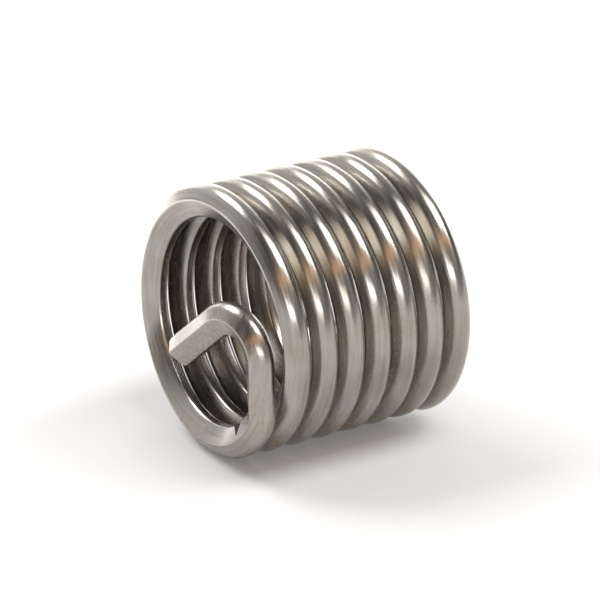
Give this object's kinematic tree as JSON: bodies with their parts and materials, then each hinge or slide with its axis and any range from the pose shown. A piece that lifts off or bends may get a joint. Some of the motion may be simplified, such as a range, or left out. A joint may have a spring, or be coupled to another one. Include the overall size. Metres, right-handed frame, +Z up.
{
  "type": "helical thread insert",
  "caption": "Helical thread insert coiled from diamond-section stainless wire, with a bent driving tang across the bore and a break-off notch, lying on its side.",
  "frame": {"origin": "bottom centre of the bounding box: on the surface the insert lies on, under the middle of its length", "axes": "+Z up; the coil's axis runs along X, from the tang at -X to the plain end at +X; +Y is the far side as seen with +X to the right"},
  "size_m": [0.0068, 0.007, 0.0071],
  "materials": {
    "stainless_wire": "bright rolled stainless steel wire"
  },
  "bodies": {
    "root": {"thread_insert": "stainless_wire"}
  },
  "joints": []
}
